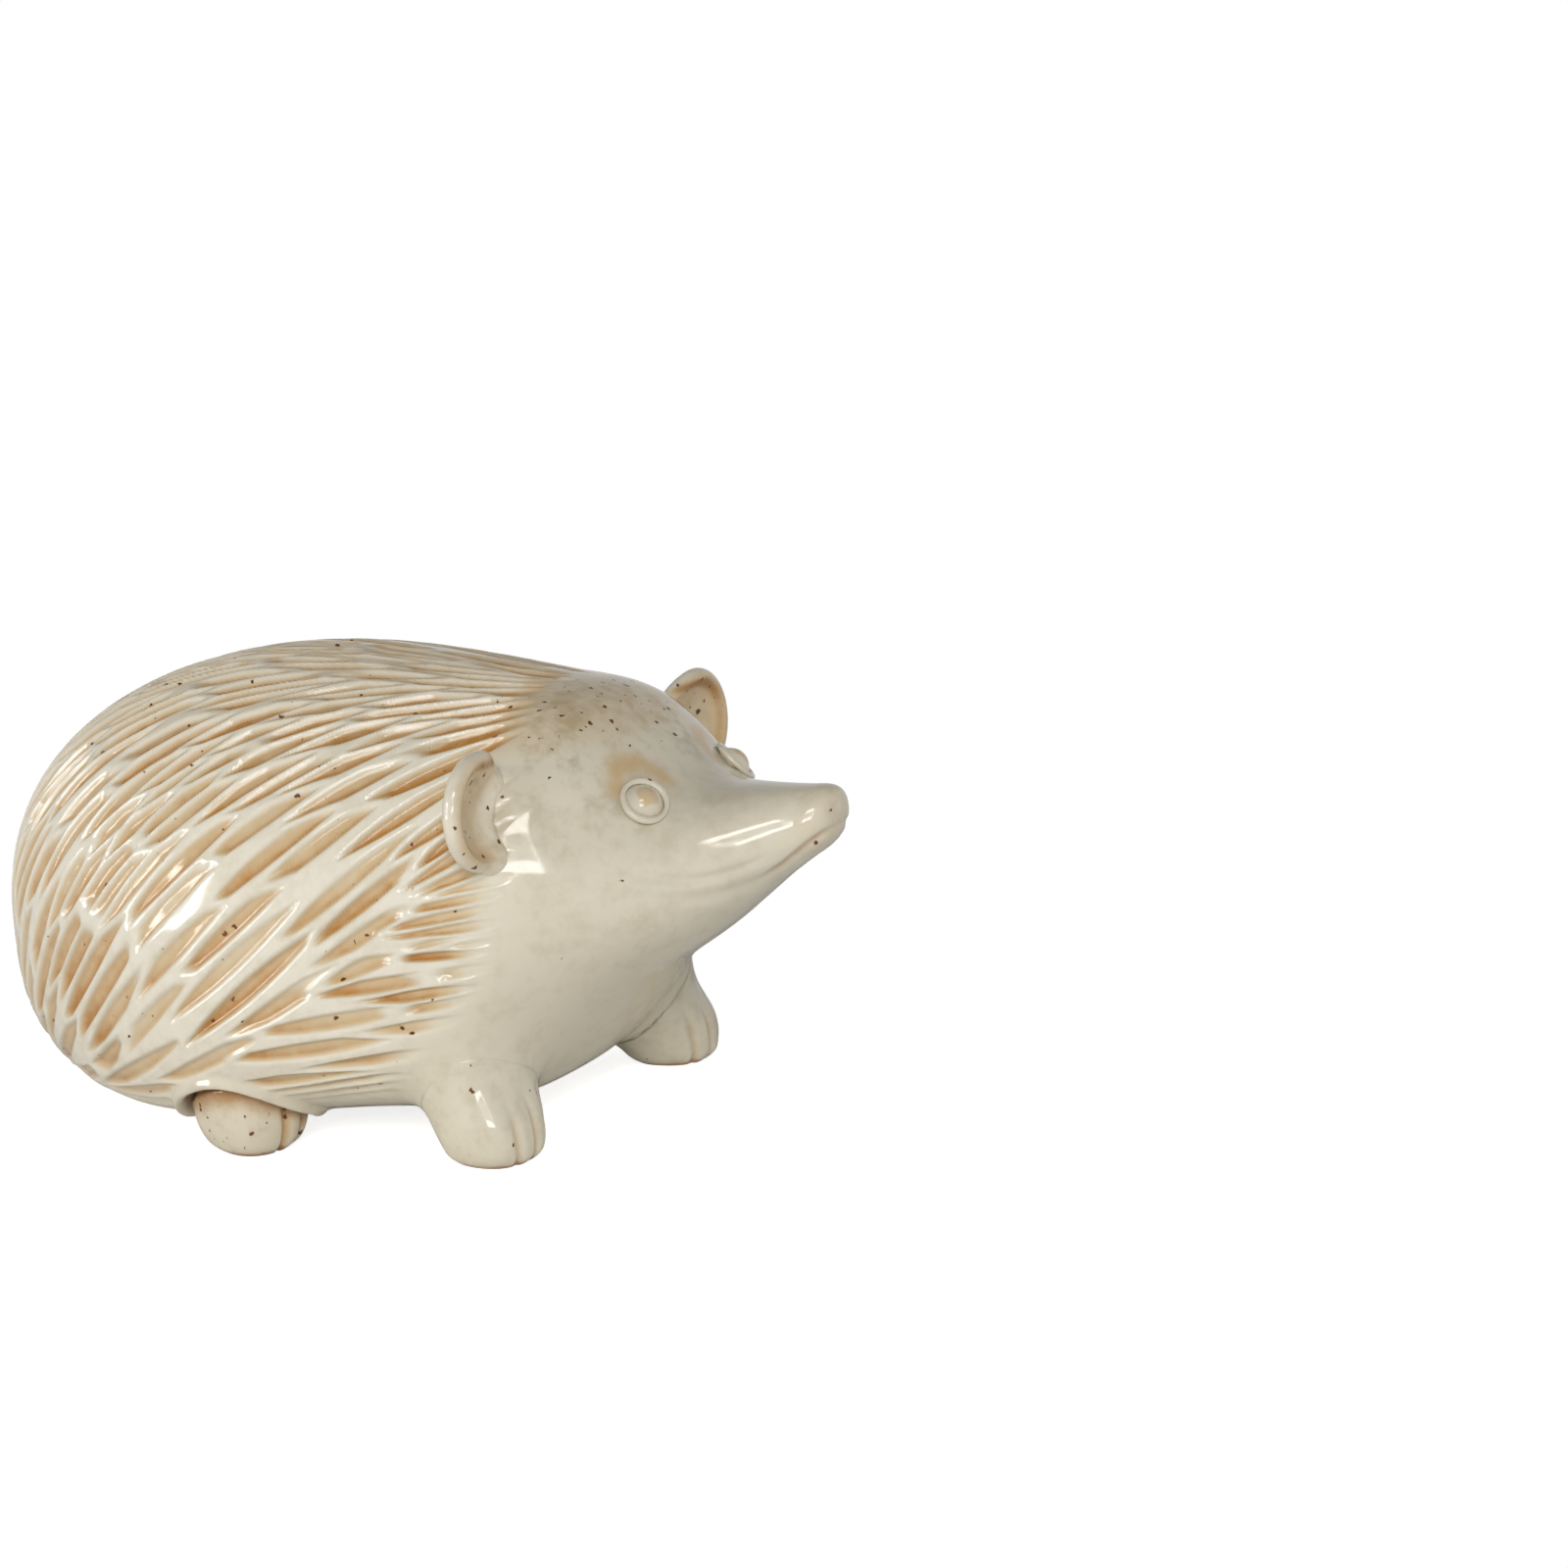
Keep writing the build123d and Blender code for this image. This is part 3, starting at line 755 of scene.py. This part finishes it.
turn_from_back = np.linspace(-np.pi, np.pi, 2001)
column_density = 1.0 - (1.0 - BELLY_COLUMNS) * smooth_step(*BELLY_START, np.abs(turn_from_back))
column_count = np.r_[0.0, np.cumsum(0.5 * (column_density[1:] + column_density[:-1]))]
column_place = np.linspace(0.0, column_count[-1], BODY_COLUMNS, endpoint=False)
body_angle = np.interp(column_place, column_count, turn_from_back)[None, :] + 0.5 * np.pi
body_station = np.linspace(0.0, 1.0, BODY_ROWS)[:, None]
body_points = plain_skin(body_station, body_angle)
body_points[0] = body_points[0].mean(axis=0)
body_points[-1] = body_points[-1].mean(axis=0)
body_normals = grid_normals(body_points)


def distance_to(place, points):
    """Distance of points on either side of the body to a place on the left."""
    x, y, z = np.moveaxis(points, -1, 0)
    return np.linalg.norm(np.stack([x, np.abs(y), z], -1) - place, axis=-1)


# The skin is smoothed onto the legs: middle and reach of each joint, the leg's gap and the softness
FAR_OFF = 99.0
joints = [
    ((*FOREFOOT_PLACE, 22.0), 55.0, forefoot_gap, FOREFOOT_SOFTNESS),
    ((*HIND_FOOT_PLACE, 12.0), 45.0, hind_foot_gap, HIND_FOOT_SOFTNESS),
]
close_to_joints = [distance_to(middle, body_points) < reach for middle, reach, _, _ in joints]
joint_gaps = []
for close_by, (_, _, leg_gap, softness) in zip(close_to_joints, joints):
    points = body_points[close_by]
    gap = np.full(close_by.shape, FAR_OFF)
    gap[close_by] = leg_gap(points)
    joint_gaps.append(gap)
    body_points[close_by] = settle(points, body_normals[close_by], leg_gap, softness, under=0.0)
fore_gap, hind_gap = joint_gaps
body_normals = grid_normals(body_points)

# Where the coat is carved: behind the face, above the belly, and not into the joints
COAT_FRONT = (-9.0, 6.0)
COAT_UNDERSIDE = (-0.93, -0.60)
COAT_TO_FORELEG = (2.0, 9.0)
COAT_TO_HIND_FOOT = (4.0, 7.0)
x, y, z = np.moveaxis(body_points, -1, 0)
edge_x = np.interp(z, COAT_EDGE[:, 0], COAT_EDGE[:, 1])
coat = 1.0 - smooth_step(*COAT_FRONT, x - edge_x)
coat *= smooth_step(*COAT_UNDERSIDE, body_normals[..., 2])
coat *= smooth_step(*COAT_TO_FORELEG, fore_gap) * smooth_step(*COAT_TO_HIND_FOOT, hind_gap)

# Lay of the spines: how fast they fall, and the slanting line behind which they are no longer swept back
SPINE_FALL = 0.87
SWEEP_PLACE, SWEEP_HEIGHT = -21.0, 22.0
SWEEP_SLANT = 1.25
SWEEP_BREADTH = 6.0
SWEEP_MOST = 3.0
# Shorter spines behind the cheek: by how much, from where to where along the body, and up to what height
CHEEK_SHORTENING = 0.34
CHEEK_LENGTH = (5.0, 45.0)
CHEEK_TOP = (80.0, 110.0)


def spine_lay(points, normals):
    """Direction of the spines along the skin: back and down the flank, swept back low behind the cheek."""
    behind = SWEEP_PLACE + SWEEP_SLANT * (points[..., 2] - SWEEP_HEIGHT)
    back = 1.0 + np.exp(np.minimum((points[..., 0] - behind) / SWEEP_BREADTH, SWEEP_MOST))
    lay = np.stack([-back, points[..., 1] / BODY_WIDTH, np.full_like(back, -SPINE_FALL)], -1)
    lay = lay - np.sum(lay * normals, axis=-1, keepdims=True) * normals
    return lay / np.maximum(np.linalg.norm(lay, axis=-1, keepdims=True), 1e-6)


def spine_scale(points):
    """Spines are shorter and finer where they end behind the cheek."""
    low = 1.0 - smooth_step(*CHEEK_TOP, points[..., 2])
    return 1.0 - CHEEK_SHORTENING * smooth_step(*CHEEK_LENGTH, points[..., 0]) * low


def spine_metric(points, centres, normals, lays, scales):
    """Sum of |part|^1.5 of the way to each spine: along it by its length, beside and above by its width."""
    across = np.cross(normals, lays)
    along = (points @ lays.T - np.sum(centres * lays, 1)) / (SPINE_LENGTH * scales)
    beside = (points @ across.T - np.sum(centres * across, 1)) / (SPINE_WIDTH * scales)
    above = (points @ normals.T - np.sum(centres * normals, 1)) / (SPINE_WIDTH * scales)
    cost = sum(np.abs(part) * np.sqrt(np.abs(part)) for part in (along, beside, above))
    return cost, along, beside


# Scatter the spines: random places, then each moves to the middle of its own patch, until all are even
SPINE_SAMPLES = 12000
SPREADING_ROUNDS = 24
LEAST_COAT = 0.05
rng = np.random.default_rng(11)
row_step = np.gradient(body_points, axis=0)
column_step = 0.5 * (np.roll(body_points, -1, 1) - np.roll(body_points, 1, 1))
area = np.linalg.norm(np.cross(row_step, column_step), axis=-1)
weight = np.where(coat > LEAST_COAT, area / spine_scale(body_points) ** 2, 0.0)
spine_count = int(weight.sum() / (SPINE_LENGTH * SPINE_WIDTH))
samples = rng.choice(weight.size, SPINE_SAMPLES, replace=False, p=weight.ravel() / weight.sum())
sample_points = body_points.reshape(-1, 3)[samples]
sample_normals = body_normals.reshape(-1, 3)[samples]
sample_lays = spine_lay(sample_points, sample_normals)
sample_scales = spine_scale(sample_points)
chosen = np.arange(spine_count)
for _ in range(SPREADING_ROUNDS):
    spines = (sample_points[chosen], sample_normals[chosen], sample_lays[chosen], sample_scales[chosen])
    nearest = np.argmin(spine_metric(sample_points, *spines)[0], axis=1)
    count = np.maximum(np.bincount(nearest, minlength=spine_count), 1)[:, None]
    middle = np.stack([np.bincount(nearest, axis, spine_count) for axis in sample_points.T], 1) / count
    middle = np.where(count > 1, middle, sample_points[chosen])
    apart = np.sum(sample_points**2, 1)[:, None] - 2.0 * sample_points @ middle.T
    chosen = np.argmin(apart, axis=0)
spines = (sample_points[chosen], sample_normals[chosen], sample_lays[chosen], sample_scales[chosen])
spine_tone = rng.uniform(0.0, 1.0, spine_count)

# Ring by ring over the body: how far each point is from the next ridge, and its place in its own scoop
ridge_gap, scoop_along, scoop_beside, scoop_tone = np.zeros((4, *coat.shape))
column = np.arange(BODY_COLUMNS)
for row in np.flatnonzero(coat.max(axis=1) > 0.0):
    cost, along, beside = spine_metric(body_points[row], *spines)
    own = np.argmin(cost, axis=1)
    first = cost[column, own] ** (2.0 / 3.0)
    cost[column, own] = np.inf
    ridge_gap[row] = cost.min(axis=1) ** (2.0 / 3.0) - first
    scoop_along[row] = along[column, own]
    scoop_beside[row] = beside[column, own]
    scoop_tone[row] = spine_tone[own]
# Each scoop is a lens in its own patch: half width and half length in spine sizes, and how its walls rise
SCOOP_HALF_WIDTH, SCOOP_HALF_LENGTH = 0.66, 0.76
SCOOP_END = 1.6
SCOOP_WALL = 0.60
SCOOP_LEAST, SCOOP_SPREAD = 0.75, 0.5
within_lens = SCOOP_HALF_WIDTH * (1.0 - (scoop_along / SCOOP_HALF_LENGTH) ** 2) - np.abs(scoop_beside)
scoop = smooth_step(0.0, SCOOP_WALL, np.minimum(ridge_gap, SCOOP_END * within_lens)) * coat
carving = -SPINE_DEPTH * (SCOOP_LEAST + SCOOP_SPREAD * scoop_tone) * scoop

# The hem of the coat rolls over each hind foot as a rim
RIM_PLACE, RIM_WIDTH, RIM_RISE = 3.4, 1.2, 2.2
RECESS_EDGE, RECESS_DEPTH = (0.4, 2.4), 3.4
RIM_FOOT = (5.0, 11.0)
rim_fade = smooth_step(*RIM_FOOT, z)
rim_roll = np.exp(-(((hind_gap - RIM_PLACE) / RIM_WIDTH) ** 2)) * rim_fade
rim_recess = (1.0 - smooth_step(*RECESS_EDGE, hind_gap)) * rim_fade
carving += RIM_RISE * rim_roll - RECESS_DEPTH * rim_recess

# Mouth crease along the snout, and two soft folds behind its corner
FOLD_PLACE, FOLD_HEIGHT, FOLD_BEND = 96.0, 70.5, 0.02
FOLD_BACK, FOLD_FRONT = (78.0, 92.0), (104.0, 113.0)
FOLD_WIDTH, FOLD_DEPTH = 1.5, 0.8
LOWER_FOLD_DROP, LOWER_FOLD_WIDTH, LOWER_FOLD_DEPTH = 5.0, 2.0, 0.6
crease = mouth_crease(body_points)
above_fold = z - FOLD_HEIGHT - FOLD_BEND * (x - FOLD_PLACE) ** 2
fold_fade = smooth_step(*FOLD_BACK, x) * (1.0 - smooth_step(*FOLD_FRONT, x))
fold = np.exp(-((above_fold / FOLD_WIDTH) ** 2)) * fold_fade
lower_fold = np.exp(-(((above_fold + LOWER_FOLD_DROP) / LOWER_FOLD_WIDTH) ** 2)) * fold_fade
carving -= MOUTH_DEPTH * crease + FOLD_DEPTH * fold + LOWER_FOLD_DEPTH * lower_fold

# A thumb's dent in the temple, between the ear and the eye
TEMPLE = np.array([68.0, 43.0, 88.0])
TEMPLE_REACH, TEMPLE_DEPTH = 8.0, 1.1
carving -= TEMPLE_DEPTH * np.exp(-((distance_to(TEMPLE, body_points) / TEMPLE_REACH) ** 2))

# Tan halo over each eye
HALO_CENTRE = EYE_CENTRE + 4.0 * EYE_UP - 2.0 * EYE_ACROSS
HALO_RADIUS, HALO_WIDTH = 8.0, 3.8
halo = np.exp(-(((distance_to(HALO_CENTRE, body_points) - HALO_RADIUS) / HALO_WIDTH) ** 2))
halo *= smooth_step(-3.0, 5.0, z - EYE_CENTRE[2])

body_points = body_points + carving[..., None] * body_normals
body_normals = grid_normals(body_points)

# Glaze pools in the scoops, most at their lower ends and upper edges, and on the forehead and rump. Tan on
# the upward-facing coat and grey cloud on the upward-facing skin behind the face are painted shade, for the
# dim light from above.
facing_up = body_normals[..., 2]
trailing = smooth_step(0.0, 0.5, scoop_along)
upper_edge = smooth_step(-0.1, 0.35, scoop_beside * np.where(y > 0.0, -1.0, 1.0))
pool = scoop * (0.42 + 0.25 * scoop_tone + 0.30 * trailing + 0.22 * upper_edge)
forehead = smooth_step(96.0, 108.0, z) * smooth_step(36.0, 48.0, x)
rear_tan = 0.14 * coat * (1.0 - smooth_step(-110.0, -40.0, x))
# Painted shade: tan laid on the coat where it faces up.
crown_painted_shade = 0.30 * coat * smooth_step(0.55, 0.95, facing_up)
# Brown in the recess between the rim and each hind foot: iron stain together with painted shade under the
# hem.
recess_stain_and_shade = np.exp(-(((hind_gap - 1.2) / 0.9) ** 2)) * rim_fade
# Painted shade: grey cloud where the skin faces up; the forehead's share is its own mottling.
top_painted_shade_and_forehead_cloud = 0.75 * smooth_step(0.2, 0.9, facing_up) + 0.3 * forehead
body_values = {
    "pool": pool + 0.55 * halo + 0.34 * forehead + rear_tan + crown_painted_shade,
    "break": coat * (1.0 - scoop),
    "stain": MOUTH_STAIN * crease + 0.6 * recess_stain_and_shade,
    "cloud": 0.35 + top_painted_shade_and_forehead_cloud * (1.0 - smooth_step(72.0, 88.0, x)),
    "speckle": 0.02 + 0.25 * scoop + 0.6 * forehead,
}
body_glaze = glazed("body_glaze", **{key.capitalize(): key for key in body_values})
# The shell is laid in four blocks of rings that share their end rings and normals
BLOCKS = {"rump": (0, 120), "flanks": (120, 240), "shoulders": (240, 360), "head": (360, BODY_ROWS - 1)}
for name, (start, stop) in BLOCKS.items():
    rows = slice(start, stop + 1)
    values = {key: value[rows] for key, value in body_values.items()}
    mesh = grid_mesh(f"body_{name}", body_points[rows], values, body_normals[rows])
    add_piece(f"body_{name}_glazed", mesh, body_glaze, "body_glaze", "body_shell")


# Floor: a plain pale disc just under the soles, which keeps the figurine's shadow and fades out into the
# white surroundings.
FLOOR_RADIUS = 600.0
FLOOR_DROP = 0.02
FLOOR_COLOUR = srgb(246, 245, 243)
FLOOR_ROUGHNESS = 0.9
FLOOR_GLOW = 0.8
# Metres from the middle where the floor is gone and where it is whole
FLOOR_FADE = (0.42, 0.15)
WHITE = (1.0, 1.0, 1.0, 1.0)
floor_radius = FLOOR_RADIUS * np.linspace(0.0, 1.0, 25)[:, None]
floor_angle = np.linspace(0.0, 2.0 * np.pi, 96, endpoint=False)[None, :]
floor_x = floor_radius * np.cos(floor_angle)
floor_y = floor_radius * np.sin(floor_angle)
floor_points = np.stack(np.broadcast_arrays(floor_x, floor_y, -FLOOR_DROP), -1)
floor_white = bpy.data.materials.new("floor_white")
floor_white.use_nodes = True
tree = floor_white.node_tree
shader = tree.nodes["Principled BSDF"]
shader.inputs["Roughness"].default_value = FLOOR_ROUGHNESS
shader.inputs["Specular IOR Level"].default_value = 0.0
shader.inputs["Base Color"].default_value = FLOOR_COLOUR
shader.inputs["Emission Color"].default_value = WHITE
camera_ray = put(tree, "LightPath").outputs["Is Camera Ray"]
tree.links.new(math_of(tree, "MULTIPLY", camera_ray, FLOOR_GLOW), shader.inputs["Emission Strength"])
place = put(tree, "TexCoord").outputs["Object"]
from_middle = put(tree, "VectorMath", {"operation": "LENGTH"}, _0=place).outputs["Value"]
tree.links.new(remap(tree, from_middle, *FLOOR_FADE), shader.inputs["Alpha"])
floor_mesh = grid_mesh("floor", floor_points)
floor_mesh.materials.append(floor_white)
floor = bpy.data.objects.new("floor", floor_mesh)
bpy.context.scene.collection.objects.link(floor)


# Light: a room that is bright round the horizon and dim overhead, two soft boxes on the camera's side that
# light the clay, and two cards in the same places that show only as reflections in the glaze.
scene = bpy.context.scene
scene.view_settings.view_transform = "Standard"
HORIZON_LEVEL, OVERHEAD_LEVEL = 0.72, 0.14
DIMMING_HEIGHTS = (0.1, 0.8)
room = bpy.data.worlds.new("white_room")
room.use_nodes = True
scene.world = room
tree = room.node_tree
height = put(tree, "SeparateXYZ", Vector=put(tree, "TexCoord").outputs["Generated"]).outputs["Z"]
dimming = math_of(tree, "MULTIPLY", remap(tree, height, *DIMMING_HEIGHTS), OVERHEAD_LEVEL - HORIZON_LEVEL)
level = math_of(tree, "ADD", dimming, HORIZON_LEVEL)
strength = math_of(tree, "MAXIMUM", level, put(tree, "LightPath").outputs["Is Camera Ray"])
backdrop = tree.nodes["Background"]
backdrop.inputs["Color"].default_value = WHITE
tree.links.new(strength, backdrop.inputs["Strength"])

LAMP_DISTANCE = 1.25
LAMP_TARGET = Vector((0.0, 0.0, 0.06))
FRONT = (0.42, -0.76, 0.42)
LEFT = (-0.62, -0.76, 0.18)
# Direction, width, height and power of each lamp, and whether it lights the clay
LAMPS = {
    "front_box": (FRONT, 0.36, 0.36, 6.6, True),
    "left_box": (LEFT, 0.30, 0.30, 3.4, True),
    "front_card": (FRONT, 0.40, 0.74, 9.8, False),
    "left_card": (LEFT, 0.55, 0.55, 11.5, False),
}
for name, (direction, width, tall, power, lights_clay) in LAMPS.items():
    lamp = bpy.data.lights.new(name, "AREA")
    lamp.shape = "RECTANGLE"
    lamp.size = width
    lamp.size_y = tall
    lamp.energy = power
    holder = bpy.data.objects.new(name, lamp)
    scene.collection.objects.link(holder)
    holder.visible_diffuse = lights_clay
    holder.visible_glossy = not lights_clay
    aim = Vector(direction).normalized()
    holder.location = LAMP_TARGET + LAMP_DISTANCE * aim
    holder.rotation_mode = "QUATERNION"
    holder.rotation_quaternion = aim.to_track_quat("Z", "Y")


# Camera: at the photograph's viewing angle, a metre away, tipped a little to one side.
VIEW_TURN, VIEW_TILT, VIEW_ROLL = np.radians([27.4, 11.4, -3.8])
VIEW_DISTANCE = 1.0
FOCAL_PIXELS = 3740.0
FRAME_PIXELS = 1600.0
ORIGIN_PIXEL = (459.8, 1116.7)
SENSOR_WIDTH = 36.0
NEAREST = 0.05
right = np.array([np.cos(VIEW_TURN), np.sin(VIEW_TURN), 0.0])
level_ahead = np.array([-np.sin(VIEW_TURN), np.cos(VIEW_TURN), 0.0])
ahead = np.cos(VIEW_TILT) * level_ahead - np.sin(VIEW_TILT) * np.array([0.0, 0.0, 1.0])
above = np.cross(right, ahead)
right, above = (
    np.cos(VIEW_ROLL) * right + np.sin(VIEW_ROLL) * above,
    np.cos(VIEW_ROLL) * above - np.sin(VIEW_ROLL) * right,
)
off_right = (ORIGIN_PIXEL[0] - FRAME_PIXELS / 2.0) / FOCAL_PIXELS
off_down = (ORIGIN_PIXEL[1] - FRAME_PIXELS / 2.0) / FOCAL_PIXELS
eye_place = -VIEW_DISTANCE * (off_right * right - off_down * above + ahead)
lens = bpy.data.cameras.new("camera")
lens.sensor_width = SENSOR_WIDTH
lens.lens = SENSOR_WIDTH * FOCAL_PIXELS / FRAME_PIXELS
lens.clip_start = NEAREST
camera = bpy.data.objects.new("camera", lens)
scene.collection.objects.link(camera)
camera.matrix_world = Matrix(np.column_stack([right, above, -ahead]).tolist()).to_4x4()
camera.location = eye_place.tolist()
scene.camera = camera
